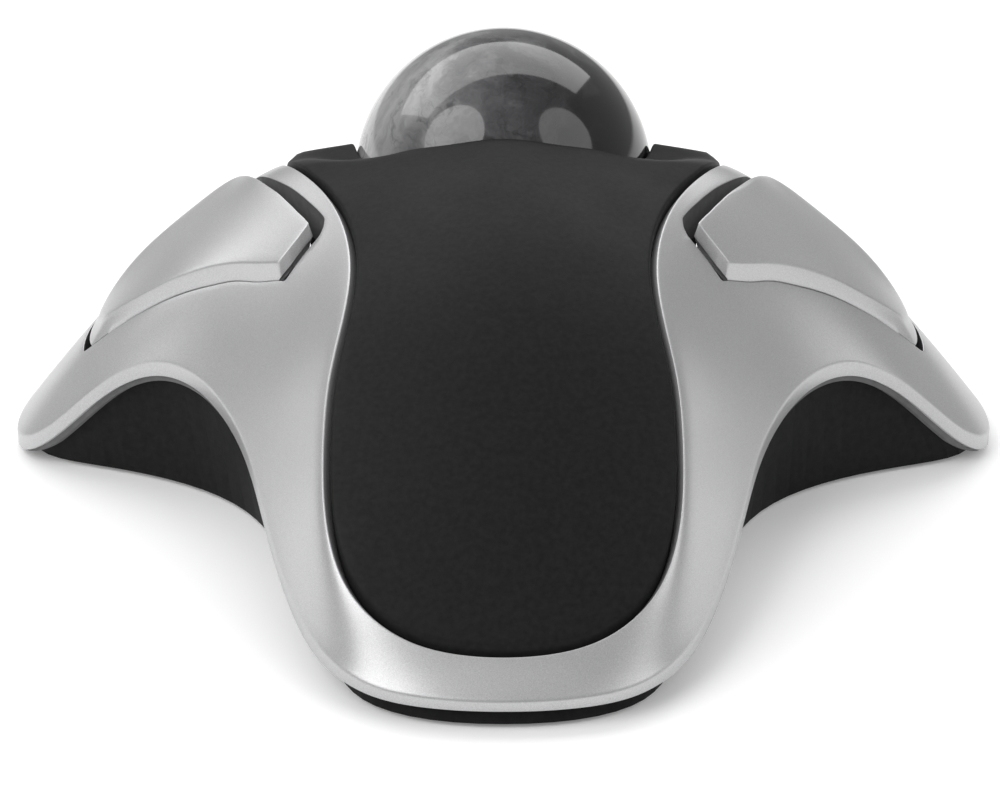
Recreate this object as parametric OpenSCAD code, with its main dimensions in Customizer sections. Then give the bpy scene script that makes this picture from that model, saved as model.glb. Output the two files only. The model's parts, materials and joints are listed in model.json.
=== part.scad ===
/* [Overall size] */
// Distance between the two wing tips
overall_w = 131.2; // [110:0.1:150]
// Depth from the palm end to the cable end
overall_d = 116.8; // [95:0.1:140]
// Gap between the table and the floor of the base
foot_h = 0.6; // [0.4:0.1:2]
// Wall thickness of the silver shell
shell_t = 1.7; // [1.2:0.1:2.6]
// Gap around the palm panel where it meets the shell
panel_gap = 0.5; // [0.2:0.05:1.2]

/* [Ball and cup] */
// Diameter of the ball
ball_d = 40; // [34:0.1:46]
// Distance of the ball centre toward the cable end
ball_y = 29; // [22:0.1:34]
// Height of the ball centre above the table
ball_z = 32; // [29:0.1:36]
// Tilt of the opening toward the cable end, degrees
ball_tilt = 32; // [0:1:45]
// Diameter of the inner core of the ball
core_d = 24; // [12:0.1:30]
// Radial gap between ball and opening
opening_gap = 0.45; // [0.3:0.05:1]
// Height of the lip beside the ball
lip_h = 2.2; // [0:0.1:2.6]
// Depth of the dish in front of that lip
dish_h = 1.4; // [0:0.1:1.8]
// Wall of the cup
cup_t = 1.8; // [1.2:0.1:3]
// Diameter of a support bearing
bearing_d = 3; // [2:0.1:4]
// Angle of the sensor below the horizontal, degrees
sensor_tilt = 45; // [35:1:60]

/* [Buttons] */
// Height of a button above the shell at its inner end
button_h = 2.2; // [1:0.1:3.5]
// Gap between a button and its hole, seen from above
button_gap = 0.55; // [0.45:0.05:0.9]
// Room added round the deep end of the hole, where a button moves most
pocket_gap = 0.5; // [0.3:0.05:0.8]
// Room added round the open end of the hole
slot_gap = 0.2; // [0.1:0.05:0.5]
// Swell of a button's top above its edges
crown_h = 0.5; // [0:0.1:1.2]
// Distance of a hinge axis from the middle
hinge_x = 53; // [48:0.1:56]
// Height of a hinge axis
hinge_z = 8; // [7:0.1:9]
// Middle of a hinge along the depth
hinge_y = 13; // [11:0.1:15]
// Diameter of a hinge pin
pin_d = 2; // [1.6:0.1:3]
// Radial running fit on a pin
fit = 0.04; // [0.01:0.01:0.1]
// Distance of a switch from the middle
switch_x = 31; // [28:0.1:34]
// Switch position along the depth
switch_y = 9; // [7:0.1:11]

/* [Electronics] */
// Height of the underside of the main board
board_z = 5; // [4:0.1:6]
// Board thickness
board_t = 1.6; // [1:0.1:2]
// Bore of the cable inlet
inlet_d = 4.2; // [3:0.1:6]
// Height of the cable inlet
inlet_z = 5.2; // [4:0.1:7]

/* [Hidden] */
$fn = 48;
kx = overall_w / 131.2;
ky = overall_d / 116.8;
br = ball_d / 2;
floor_z = foot_h + 2.2;
cup_r = br + 0.6;
s_dir = [0, -cos(sensor_tilt), -sin(sensor_tilt)];
board_top = board_z + board_t;

SILVER = [0.74, 0.74, 0.75];
BLACK = [0.13, 0.13, 0.14];
DARK = [0.2, 0.2, 0.21];
STEEL = [0.72, 0.73, 0.75];
GREEN = [0.1, 0.32, 0.2];

// Middle profile of the crown: control points of a spline, [y, z]
PROFILE = [[-66, -8], [-58, 3.4], [-50, 12], [-40, 22], [-30, 30.2], [-20, 36.4], [-10, 40.6],
           [0, 43.2], [10, 44.4], [19, 43.6], [28, 39.4], [38, 31.5], [48, 21.5], [54.5, 12],
           [58, 3], [59.5, -8]];
// Stations round half the shell: seam [x, y], shoulder [x, y, drop], flank, fold
ST = [
 [[0, -54.4], [0, -55.9, 0.1], [0, -57.4, 4.6], [0, -58.4, 3.9]],
 [[8.4, -53.7], [8.7, -55.1, 0.1], [9.2, -56.6, 4.8], [9.4, -57.6, 4]],
 [[14.4, -51.3], [15.3, -52.6, 0.2], [16.2, -54.2, 5.2], [16.6, -55, 4.2]],
 [[19, -47], [20.2, -47.8, 0.3], [21.4, -48.4, 6.8], [22, -48.8, 5.4]],
 [[21, -40.5], [22.4, -40.8, 0.5], [24, -41.2, 10], [25, -41.5, 7.6]],
 [[21.2, -33], [22.8, -33, 0.8], [25.8, -33.4, 14], [27.6, -34, 10.4]],
 [[20.9, -26.2], [22.8, -26, 1], [26.4, -25.8, 18.5], [29.6, -26, 13]],
 [[19.2, -19], [21.7, -18.6, 1.2], [27, -18.4, 22.5], [31.6, -18, 15]],
 [[18.5, -12], [21.4, -11, 1.3], [29, -10, 26], [34.4, -10.5, 16.5]],
 [[19.3, -5.3], [22.4, -3.8, 1.5], [31.5, -2.4, 28.5], [38.6, -3.6, 18.4]],
 [[20.9, 1], [24.5, 2.6, 1.4], [36.5, 4.5, 30], [45, 1.6, 18.6]],
 [[22.8, 6.2], [26.6, 8, 1.2], [42, 9.5, 29.5], [52.5, 3.6, 14]],
 [[24.9, 10.8], [29, 13, 0.8], [46, 13.5, 28.5], [60.6, 4.8, 5.2]],
 [[27.2, 15.2], [31.4, 18, 0.3], [48, 18, 27.5], [65.6, 9, 2.4]],
 [[29, 20], [33.4, 23, 0.1], [47, 25, 25.5], [65.8, 20, 2.6]],
 [[29.9, 25.8], [34.4, 28.8, 0.1], [44, 33, 21], [60.5, 33, 3]],
 [[29.9, 32], [33.2, 36, 0.5], [39.5, 42, 16], [50, 44.5, 3]],
 [[29.2, 39], [31.5, 43, 0.8], [35, 48.5, 12], [39.5, 51.5, 3]],
 [[28.4, 46], [29.4, 49.5, 1], [30.6, 53.5, 8.5], [31, 55.8, 3]]];
// Button edges on the shell, [s, t, height]: near, far, inner and outer side of the top
B_NEAR = [[.507, .505, 2.2], [.526, .574, 2.2], [.548, .629, 2.2], [.569, .674, 2.2],
         [.59, .709, 2.15], [.61, .728, 2.1], [.63, .743, 2], [.66, .757, 1.9],
         [.682, .772, 1.8], [.7, .79, 1.6]];
B_FAR = [[.775, .27, 1.7], [.775, .35, 2.5], [.774, .43, 2.5], [.772, .51, 2.6],
         [.769, .58, 2.8], [.766, .64, 3], [.762, .69, 2.9], [.757, .74, 2.4], [.75, .78, 1]];
B_IN = [[.507, .505, 2.2], [.513, .431, 2.2], [.52, .352, 2.2], [.53, .269, 2.2],
         [.56, .284, 2.25], [.593, .285, 2.3], [.634, .277, 2.35], [.681, .266, 2.4],
         [.73, .265, 2.1], [.775, .27, 1.7]];
B_OUT = [[.7, .79, 1.6], [.725, .785, 1.4], [.75, .78, 1]];
// The same four sides where the button meets the shell
E_NEAR = [[.506, .5, 0], [.525, .58, 0], [.548, .633, 0], [.567, .683, 0], [.588, .718, 0],
         [.607, .739, 0], [.627, .754, 0], [.65, .766, 0], [.67, .784, 0], [.684, .804, 0],
         [.695, .822, 0]];
E_FAR = [[.79, .26, 0], [.79, .35, 0], [.789, .44, 0], [.787, .53, 0], [.784, .61, 0],
         [.778, .68, 0], [.77, .74, 0], [.758, .786, 0]];
E_IN = [[.506, .5, 0], [.512, .418, 0], [.521, .33, 0], [.531, .242, 0], [.56, .27, 0],
         [.593, .272, 0], [.634, .265, 0], [.681, .255, 0], [.735, .252, 0], [.79, .26, 0]];
E_OUT = [[.695, .822, 0], [.726, .803, 0], [.758, .786, 0]];
// Pocket in the shell on the two inner sides of a button
POCKET = [[.504, .488], [.531, .227], [.539, .181], [.551, .14], [.597, .156], [.656, .167],
         [.695, .181], [.737, .192], [.785, .2], [.795, .25]];
// Slot in the shell past the outer end of a button
SLOT = [[.702, .834], [.733, .812], [.768, .79]];

function cat(a, b) = [for (v = a) v, for (v = b) v];
function bs(P, u) = let (i = min(max(floor(u), 0), len(P) - 4), f = u - i)
  (pow(1 - f, 3) * P[i] + (3 * f * f * f - 6 * f * f + 4) * P[i + 1]
   + (-3 * f * f * f + 3 * f * f + 3 * f + 1) * P[i + 2] + f * f * f * P[i + 3]) / 6;
PT = [for (k = [0:130]) bs(PROFILE, k / 10)];
CROWN = [[-58, 1.2], [-45, 2.2], [-30, 3], [-10, 3.2], [5, 2.4], [15, 1.6], [40, 1.6], [58, 1.4]];
RIDGE = [[-40, 0], [-10, 0.6], [12, 1.9], [40, 1.9]];
// Direction in which a button's top swells
CROWN_N = [0.35, -0.1, 0.93];
// Height of the palm surface at x, y, before scaling
function pz(x, y) = lookup(y, PT) - lookup(y, CROWN) * x * x / 400
  - lookup(y, RIDGE) * (1 - exp(-x * x / 81));
ROWS = [for (r = ST) [[r[0][0], r[0][1], pz(r[0][0], r[0][1])],
  [r[1][0], r[1][1], pz(r[1][0], r[1][1]) - r[1][2]], r[2], r[3]]];
NET = cat([[for (p = ROWS[1]) [-p[0], p[1], p[2]]]],
          cat(ROWS, [2 * ROWS[len(ROWS) - 1] - ROWS[len(ROWS) - 2]]));
NS = len(ROWS) - 1;
function bez(K, t) = let (k = 1 - t)
  k * k * k * K[0] + 3 * k * k * t * K[1] + 3 * k * t * t * K[2] + t * t * t * K[3];
// Point of the shell's outer surface: s runs from the palm end round to the cable end,
// t from the panel seam down to the fold
function skin(s, t) = let (p = bez(bs(NET, s * NS), t)) [p[0] * kx, p[1] * ky, p[2]];
function unit(v) = v / max(norm(v), 0.000001);
function skin_n(s, t) = let (e = 0.002,
  a = skin(s + e, t) - skin(s - e, t), b = skin(s, min(t + e, 1)) - skin(s, max(t - e, 0)),
  n = unit(cross(a, b))) n[2] < 0 ? -n : n;
T = [0, .07, .17, .3, .44, .58, .7, .8, .88, .95, 1];
function thick(s) = lookup(s, [[0, 0.9], [.1, 1], [.2, shell_t], [1, shell_t]]);
function rim(s) = lookup(s, [[0, 1.4], [.12, 1.5], [.22, 2.1], [.9, 2.1], [1, 1.8]]);
// One closed section of the shell
function section(s) = let (f = skin(s, 1), n = skin_n(s, 1), h = unit([n[0], n[1], 0]),
    g = f - shell_t * h)
  [for (t = T) skin(s, t), f - [0, 0, rim(s)], g - [0, 0, rim(s)],
   [g[0], g[1], min(f[2], g[2]) - 0.8],
   for (j = [len(T) - 2:-1:0]) let (w = min(T[j] / .17, 1))
     skin(s, T[j]) - thick(s) * unit(w * skin_n(s, T[j]) + [0, 0, 1 - w])];
function flip(L) = [for (p = L) [-p[0], p[1], p[2]]];
// Solid from rows of closed sections; each end is closed by a strip of faces
module tube(rows) {
  m = len(rows[0]);
  n = len(rows);
  polyhedron(points = [for (r = rows) for (p = r) p], convexity = 12, faces = [
    for (i = [0:n - 2]) for (j = [0:m - 1]) let (k = (j + 1) % m)
      each [[i * m + j, i * m + k, (i + 1) * m + j], [i * m + k, (i + 1) * m + k, (i + 1) * m + j]],
    for (j = [0:floor(m / 2) - 2]) let (a = j, b = j + 1, c = m - 2 - j, d = m - 1 - j)
      each [[a, d, b], [b, d, c]],
    for (j = [0:floor(m / 2) - 2]) let (o = (n - 1) * m,
      a = o + j, b = o + j + 1, c = o + m - 2 - j, d = o + m - 1 - j)
      each [[a, b, d], [b, c, d]]]);
}
// Solid between two grids of points with the same layout
module slab(top, bot) {
  n = len(top);
  m = len(top[0]);
  q = n * m;
  polyhedron(points = [for (r = top) for (p = r) p, for (r = bot) for (p = r) p],
    convexity = 8, faces = [
    for (i = [0:n - 2]) for (j = [0:m - 2]) let (a = i * m + j, b = a + 1, c = a + m, d = c + 1)
      each [[a, c, b], [b, c, d], [q + a, q + b, q + c], [q + b, q + d, q + c]],
    for (i = [0:n - 2]) let (a = i * m, c = a + m) each [[a, q + a, c], [c, q + a, q + c]],
    for (i = [0:n - 2]) let (a = i * m + m - 1, c = a + m) each [[a, c, q + a], [c, q + c, q + a]],
    for (j = [0:m - 2]) let (a = j, b = j + 1) each [[a, b, q + a], [b, q + b, q + a]],
    for (j = [0:m - 2]) let (a = (n - 1) * m + j, b = a + 1)
      each [[a, q + a, b], [b, q + a, q + b]]]);
}
function poly_at(L, u) = let (k = u * (len(L) - 1), i = min(floor(k), len(L) - 2))
  L[i] + (L[i + 1] - L[i]) * (k - i);
// Patch spanned by four edges, in shell coordinates
function coons(A, B, C, D, u, v) = poly_at(A, u) * (1 - v) + poly_at(B, u) * v
  + poly_at(C, v) * (1 - u) + poly_at(D, v) * u
  - (A[0] * (1 - u) * (1 - v) + A[len(A) - 1] * u * (1 - v)
     + B[0] * (1 - u) * v + B[len(B) - 1] * u * v);
function on_skin(q, dz = 0) = let (p = skin(q[0], q[1])) [p[0], p[1], p[2] + dz];
function xy(L) = [for (p = L) [p[0], p[1]]];
// Outline of a button where it meets the shell, and of its hole
function edge_loop() = cat(cat([for (u = [0:0.05:1.001]) on_skin(poly_at(E_NEAR, min(u, 1)))],
  [for (v = [0.25, 0.5, 0.75]) on_skin(poly_at(E_OUT, v))]),
  cat([for (u = [1:-0.05:-0.001]) on_skin(poly_at(E_FAR, max(u, 0)))],
      [for (v = [8:-1:1]) on_skin(poly_at(E_IN, v / 9))]));
module button_hole() {
  linear_extrude(height = 60) {
    offset(delta = button_gap) polygon(xy(edge_loop()));
    offset(delta = pocket_gap)
      polygon(xy(cat([for (q = POCKET) on_skin(q)], [on_skin([.72, .5]), on_skin([.56, .6])])));
    offset(delta = slot_gap)
      polygon(xy(cat([for (q = SLOT) on_skin(q)], [on_skin([.74, .7]), on_skin([.7, .75])])));
  }
}
// Table of [s, t, height] as points above the shell
function raised(L) = [for (q = L) on_skin(q, q[2] * button_h / 2.2)];
// Silver cap of one button, on the +x side
module cap() {
  U = [for (i = [0:12]) i / 12];
  V = [0, 1 / 9, 2 / 9, 1 / 3, 4 / 9, 5 / 9, 2 / 3, 7 / 9, 8 / 9, 1];
  lid = [for (u = U) [for (v = V) coons(raised(B_NEAR), raised(B_FAR), raised(B_IN), raised(B_OUT), u, v)
    + crown_h * 16 * u * (1 - u) * v * (1 - v) * CROWN_N]];
  e = [for (u = U) [for (v = V) on_skin(coons(E_NEAR, E_FAR, E_IN, E_OUT, u, v))]];
  slab(lid, [for (r = e) [for (p = r) p - [0, 0, 1.2]]]);
}
// Foot of the skirt at each station, [x, y]
FOOT = [[0, -57.9], [8.6, -57.1], [15.2, -54.1], [18.6, -49.5], [21.1, -41.5], [23.4, -34],
        [25.4, -26], [27.8, -18], [31.2, -9.6], [36.6, -3.2], [44.2, 1.6], [52.6, 4.8],
        [59.6, 6.8], [63.6, 10.6], [63.6, 20], [58.4, 31.8], [48.4, 42.8], [38.2, 49.8],
        [31, 53.8]];
FNET = concat([[-FOOT[1][0], FOOT[1][1]]], FOOT, [2 * FOOT[18] - FOOT[17]]);
function foot_at(s) = let (p = bs(FNET, s * NS)) [p[0] * kx, p[1] * ky];
function foot_in(s) = let (d = foot_at(min(s + .004, 1)) - foot_at(max(s - .004, -.004)))
  unit([-d[1], d[0]]);
// One section of the skirt between the floor and the rim of the shell
function skirt(s) = let (f = skin(s, 1), n = skin_n(s, 1), h = unit([n[0], n[1], 0]),
    b = foot_at(s), w = foot_in(s), t = f - (shell_t + 0.35) * h, z = f[2] - rim(s) + 0.7)
  [[b[0], b[1], foot_h], [t[0], t[1], z], [t[0] - 1.5 * h[0], t[1] - 1.5 * h[1], z],
   [b[0] + 1.6 * w[0], b[1] + 1.6 * w[1], foot_h]];
module base_outline(g = 0) {
  n = 54;
  L = concat([for (i = [0:n]) foot_at(i / n) + g * foot_in(i / n)],
             [[16 * kx, 56.2 * ky - g], [0, 56.9 * ky - g]]);
  polygon(concat(L, [for (i = [len(L) - 2:-1:1]) [-L[i][0], L[i][1]]]));
}
module base_skirt() {
  n = 54;
  half = [for (i = [1:n]) skirt(i / n)];
  tube(concat([for (i = [n - 1:-1:0]) flip(half[i])], [skirt(0)], half));
}
module at_sensor(d) {
  translate([0, ball_y, ball_z] + d * s_dir) rotate([90 - sensor_tilt + 90, 0, 0]) children();
}
module both(s) { scale([s, 1, 1]) children(); }
CUP_EARS = [[16, 0], [-16, 0], [0, 17]];
CASE_SCREWS = [[0, -44], [-40, 33], [40, 33]];
BOARD_SCREWS = [[15, -30], [-15, -30]];

module base_shell() {
  color(BLACK) difference() {
    union() {
      translate([0, 0, foot_h]) linear_extrude(height = 2.2) base_outline(0.8);
      base_skirt();
      for (p = CUP_EARS)
        translate([p[0], ball_y + p[1], foot_h + 1]) cylinder(r = 2.6, h = 9.4 - foot_h);
      for (p = CASE_SCREWS) translate([p[0], p[1], foot_h + 1]) cylinder(r = 3.4, h = 5.4);
      for (p = BOARD_SCREWS)
        translate([p[0], p[1], foot_h + 1]) cylinder(r = 2.2, h = board_z - foot_h - 1);
      for (s = [-1, 1]) translate([s * (switch_x + 3), switch_y + 6, foot_h + 1])
        cylinder(r = 1.8, h = board_z - foot_h - 1);
      translate([-6.5, 53.2 * ky, foot_h + 1]) cube([13, 2.4, inlet_z - foot_h - 0.2]);
    }
    for (p = CUP_EARS) translate([p[0], ball_y + p[1], floor_z]) cylinder(d = 1.7, h = 20);
    for (p = CASE_SCREWS) translate([p[0], p[1], 0]) {
      cylinder(d = 2.3, h = 20);
      cylinder(d = 4.6, h = foot_h + 1.8);
      translate([0, 0, 4.4]) cylinder(d = 5, h = 10);
    }
    for (p = BOARD_SCREWS) translate([p[0], p[1], floor_z]) cylinder(d = 1.7, h = 20);
    translate([0, 51.4 * ky, inlet_z]) rotate([-90, 0, 0]) cylinder(d = inlet_d + 2.2, h = 30);
    translate([0, 51.4 * ky, inlet_z]) rotate([-90, 0, 0]) cylinder(d = inlet_d + 3.2, h = 1.7);
    foot_pocket() foot_shapes(0.15);
    translate([-14, -18, 0]) cube([28, 24, foot_h + 0.3]);
  }
}
module foot_pocket() { linear_extrude(height = foot_h + 0.5) children(); }
module pill(w, d) {
  for (s = [-1, 1]) translate([s * w / 2, 0]) circle(d = d);
  square([w, d], center = true);
}
module foot_2d(k, g) {
  if (k == 0) translate([0, -50.5]) pill(16 + g, 6 + 2 * g);
  if (k == 1) translate([-54, 22]) circle(d = 11 + 2 * g);
  if (k == 2) translate([54, 22]) circle(d = 11 + 2 * g);
  if (k == 3) translate([0, 50]) pill(22 + g, 6 + 2 * g);
}
module foot_shapes(g) { for (k = [0:3]) foot_2d(k, g); }
module foot(k) { color(DARK) linear_extrude(height = foot_h + 0.5) foot_2d(k, 0); }
module top_shell() {
  ns = 58;
  half = [for (i = [1:ns]) section(i / ns)];
  rows = cat([for (i = [ns - 1:-1:0]) flip(half[i])], cat([section(0)], half));
  color(SILVER) resize([0, 0, 0]) difference() {
    tube(rows);
    for (s = [-1, 1]) both(s) button_hole();
  }
}
function ease(k) = let (c = max(0, min(1, k))) c * c * (3 - 2 * c);
// Lip beside the ball and the dish in front of it, added to the palm surface
function collar(x, y) = let (a = abs(x), r = norm([a, (y - ball_y) * cos(ball_tilt)]))
  lip_h * ease((29.8 - a) / 2.6) * ease((y - 21.5) / 8.5) * ease((50 - y) / 9)
  - dish_h * ease((27.6 - r) / 7) * ease((y - 12) / 8) * ease((a - 8) / 8) * ease((30 - y) / 8);
// Outline of the palm panel on one side, [x, y], from the palm end to the cable end
function panel_side() = let (n = 50)
  [for (i = [1:n + 3]) let (s = i / n, d = skin(min(s, 1), 0) - skin(min(s, 1) - .01, 0),
    w = unit([-d[1], d[0]]), p = skin(min(s, 1), 0))
    i <= n ? [p[0], p[1]] + panel_gap * w : [27.8 * kx, (46 + 3.55 * (i - n)) * ky]];
module palm_rest() {
  V = [for (i = [-8:8]) i / 8];
  L = panel_side();
  P = [for (q = L) [for (v = V) let (x = q[0] * v)
    [x, q[1], pz(x / kx, q[1] / ky) + collar(x, q[1])]]];
  R = br + opening_gap;
  color(BLACK) resize([0, 0, 0]) difference() {
    slab(P, [for (r = P) [for (p = r) p - [0, 0, 2]]]);
    translate([0, ball_y, ball_z]) rotate([-ball_tilt, 0, 0]) rotate_extrude($fn = 72)
      polygon(concat([for (a = [-90:10:0]) [R * cos(a), R * sin(a)]], [[R, 40], [0, 40]]));
    translate([0, 51.4 * ky, inlet_z]) rotate([-90, 0, 0]) cylinder(d = inlet_d + 4.2, h = 30);
    translate([-40, 50, -2]) cube([80, 20, 5]);
  }
}
module ball() {
  color([0.45, 0.45, 0.46]) translate([0, ball_y, ball_z]) difference() {
    sphere(d = ball_d, $fn = 96);
    sphere(d = core_d, $fn = 64);
  }
}
module ball_core() { color(DARK) translate([0, ball_y, ball_z]) sphere(d = core_d - 0.1, $fn = 64); }
module at_bearing(k) {
  translate([0, ball_y, ball_z]) rotate([-ball_tilt, 0, 0]) rotate([0, 0, 30 + 120 * k])
    rotate([0, 124, 0]) translate([0, 0, br + bearing_d / 2 + 0.02]) children();
}
module bearing(k) { color([0.92, 0.92, 0.9]) at_bearing(k) sphere(d = bearing_d); }
module ball_cup() {
  color(DARK) difference() {
    union() {
      translate([0, ball_y, ball_z]) sphere(r = cup_r + cup_t, $fn = 96);
      for (p = CUP_EARS) translate([p[0], ball_y + p[1], 10.4]) cylinder(r = 2.8, h = 2);
      translate([-16, ball_y - 2.2, 10.4]) cube([32, 4.4, 2]);
      translate([-2.2, ball_y, 10.4]) cube([4.4, 17, 2]);
      for (k = [0:2]) at_bearing(k) cylinder(d = bearing_d + 2, h = bearing_d / 2 + 0.6);
    }
    translate([0, ball_y, ball_z]) sphere(r = cup_r, $fn = 96);
    translate([0, ball_y, ball_z]) rotate([-ball_tilt, 0, 0])
      translate([0, 0, -3]) cylinder(r = 40, h = 60);
    at_sensor(18) cylinder(r = 4.6, h = 8);
    for (p = CUP_EARS) translate([p[0], ball_y + p[1], 5]) cylinder(d = 2.1, h = 12);
    for (k = [0:2]) at_bearing(k)
      translate([0, 0, -3]) cylinder(d = bearing_d + 0.08, h = bearing_d / 2 + 3);
  }
}
module screw(z0, z1, d, hd, up = true) {
  translate([0, 0, z0]) cylinder(d = d, h = z1 - z0);
  difference() {
    translate([0, 0, up ? z1 : z0]) cylinder(d = hd, h = 1.2);
    translate([0, 0, up ? z1 + 0.6 : z0 - 0.01])
      for (a = [0, 90]) rotate([0, 0, a]) translate([-0.9, -0.22, 0]) cube([1.8, 0.44, 0.61]);
  }
}
module cup_screw(k) {
  color(STEEL) translate([CUP_EARS[k][0], ball_y + CUP_EARS[k][1], 0]) screw(4, 12.4, 1.6, 3.6);
}
module case_screw(k) {
  color(STEEL) translate([CASE_SCREWS[k][0], CASE_SCREWS[k][1], 0])
    screw(foot_h + 0.6, 10.5, 2.1, 4.2, false);
}
module post(k, top) {
  color(BLACK) translate([CASE_SCREWS[k][0], CASE_SCREWS[k][1], 4.5]) difference() {
    cylinder(d = 4.8, h = top - 4.5);
    translate([0, 0, -1]) cylinder(d = 2.2, h = 8);
  }
}
module board_screw(k) {
  color(STEEL) translate([BOARD_SCREWS[k][0], BOARD_SCREWS[k][1], 0])
    screw(3.2, board_top, 1.6, 3.4);
}
module arm() {
  color(DARK) difference() {
    union() {
      translate([hinge_x, hinge_y + 3, hinge_z]) rotate([90, 0, 0]) cylinder(r = 2.1, h = 6);
      translate([hinge_x, hinge_y, hinge_z]) rotate([0, 36.5, 0])
        translate([-27.5, -2.2, -1.2]) cube([27.5, 4.4, 2.4]);
      translate([switch_x - 1.4, switch_y - 1.6, 22]) cube([2.8, 5.4, 3.4]);
      translate([switch_x, switch_y, 14.35]) cylinder(r = 1.7, h = 17.55);
    }
    translate([hinge_x, hinge_y + 4, hinge_z]) rotate([90, 0, 0]) cylinder(r = pin_d / 2 + fit, h = 8);
  }
}
module hinge_pin() {
  color(STEEL) translate([hinge_x, hinge_y + 5, hinge_z]) rotate([90, 0, 0])
    cylinder(d = pin_d, h = 10);
}
module hinge_bracket() {
  color(BLACK) difference() {
    union() {
      for (y = [-5, 3.4])
        translate([hinge_x - 2.2, hinge_y + y, floor_z]) cube([4.4, 1.6, hinge_z - floor_z]);
      for (y = [-5, 3.4])
        translate([hinge_x, hinge_y + y + 1.6, hinge_z]) rotate([90, 0, 0]) cylinder(r = 2.2, h = 1.6);
      translate([hinge_x - 3.2, hinge_y - 5, floor_z]) cube([6.4, 10, 1.6]);
    }
    translate([hinge_x, hinge_y + 6, hinge_z]) rotate([90, 0, 0])
      cylinder(r = pin_d / 2 + 0.03, h = 12);
  }
}
module switch() {
  color(DARK) difference() {
    translate([switch_x - 6.4, switch_y - 2.9, board_top]) cube([12.8, 5.8, 6.5]);
    translate([switch_x, switch_y, board_top + 3.5]) cylinder(r = 1.15, h = 4);
  }
}
module plunger() {
  color([0.85, 0.2, 0.15]) translate([switch_x, switch_y, board_top + 4.4]) cylinder(r = 1.1, h = 3.3);
}
module main_board() {
  color(GREEN) difference() {
    union() {
      translate([-19, -38, board_z]) cube([38, 56, board_t]);
      translate([-38, 2, board_z]) cube([76, 16, board_t]);
    }
    for (p = BOARD_SCREWS) translate([p[0], p[1], 0]) cylinder(d = 2.1, h = 20);
  }
}
module chip(x, y, w, d, h) { translate([x - w / 2, y - d / 2, board_top]) cube([w, d, h]); }
module controller_chip() {
  color(DARK) { chip(0, -12, 12, 7, 1.8); for (i = [-3:3]) chip(i * 1.6, -12, 0.5, 9.4, 0.7); }
}
module crystal() { color(STEEL) chip(11, -14, 3.2, 8, 2.6); }
module capacitors() {
  color([0.15, 0.2, 0.35]) for (x = [-11, -5.5]) translate([x, -24, board_top]) cylinder(d = 4, h = 6);
}
module cable_header() {
  color([0.9, 0.88, 0.8]) difference() {
    chip(-12, 1, 10, 4.6, 5);
    translate([-16.2, -0.3, board_top + 1.4]) cube([8.4, 2.6, 8]);
  }
}
module sensor_board() { color(GREEN) at_sensor(27.6) translate([-8.5, -6.5, 0]) cube([17, 13, 1.2]); }
module sensor_chip() { color(DARK) at_sensor(25.9) translate([-4.6, -4, 0]) cube([9.2, 8, 1.65]); }
module sensor_lens() {
  color([0.85, 0.88, 0.9, 0.6]) at_sensor(22.9) {
    cylinder(r = 2.4, h = 1.8);
    translate([-4.4, -3.4, 1.7]) cube([8.8, 6.8, 1.2]);
  }
}
module led() {
  color([0.9, 0.2, 0.2, 0.8]) at_sensor(23.6) translate([6.6, 0, 0]) cylinder(r = 1.4, h = 3.2);
}
module led_holder() {
  color(BLACK) at_sensor(24.6) difference() {
    translate([4.8, -2.6, 0]) cube([3.6, 5.2, 2.95]);
    translate([6.6, 0, -1]) cylinder(r = 1.45, h = 6);
  }
}
module sensor_ribbon() {
  color([0.8, 0.8, 0.78]) {
    translate([-4, -2.5, board_top]) cube([8, 2.2, 1.8]);
    translate([-3.5, -1.6, board_top + 1.8]) cube([7, 0.3, 4.6]);
    translate([-3.5, -1.6, board_top + 6.1]) cube([7, 6.6, 0.3]);
  }
}
module cable_gland() {
  color(DARK) translate([0, 0, inlet_z]) rotate([-90, 0, 0]) difference() {
    union() {
      translate([0, 0, 51.6 * ky]) cylinder(d = inlet_d + 3, h = 1.4);
      translate([0, 0, 53 * ky]) cylinder(d = inlet_d + 2, h = 5.13 * ky);
    }
    translate([0, 0, 40]) cylinder(d = inlet_d, h = 30);
  }
}
module rating_plate() {
  color([0.75, 0.75, 0.76]) translate([-13.8, -17.8, foot_h]) cube([27.6, 23.6, 0.28]);
}

base_shell();
top_shell();
palm_rest();
ball();
ball_core();
ball_cup();
bearing(0);  // bearing_1
bearing(1);  // bearing_2
bearing(2);  // bearing_3
cup_screw(0);  // cup_screw_1
cup_screw(1);  // cup_screw_2
cup_screw(2);  // cup_screw_3
color(SILVER) both(-1) cap();  // left_button
both(-1) arm();  // left_button_arm
both(-1) hinge_pin();  // left_hinge_pin
both(-1) hinge_bracket();  // left_hinge_bracket
color(SILVER) both(1) cap();  // right_button
both(1) arm();  // right_button_arm
both(1) hinge_pin();  // right_hinge_pin
both(1) hinge_bracket();  // right_hinge_bracket
both(-1) switch();  // left_switch
both(-1) plunger();  // left_plunger
both(1) switch();  // right_switch
both(1) plunger();  // right_plunger
main_board();
controller_chip();
crystal();
capacitors();
cable_header();
board_screw(0);  // board_screw_1
board_screw(1);  // board_screw_2
sensor_board();
sensor_chip();
sensor_lens();
led();
led_holder();
sensor_ribbon();
cable_gland();
post(0, 13.4);  // post_tail
post(1, 16.6);  // post_left
post(2, 16.6);  // post_right
case_screw(0);  // case_screw_tail
case_screw(1);  // case_screw_left
case_screw(2);  // case_screw_right
foot(0);  // foot_tail
foot(1);  // foot_left
foot(2);  // foot_right
foot(3);  // foot_far
rating_plate();
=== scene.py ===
import bpy, bmesh, json, math
import numpy as np
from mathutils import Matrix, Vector
from mathutils.geometry import delaunay_2d_cdt


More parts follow.
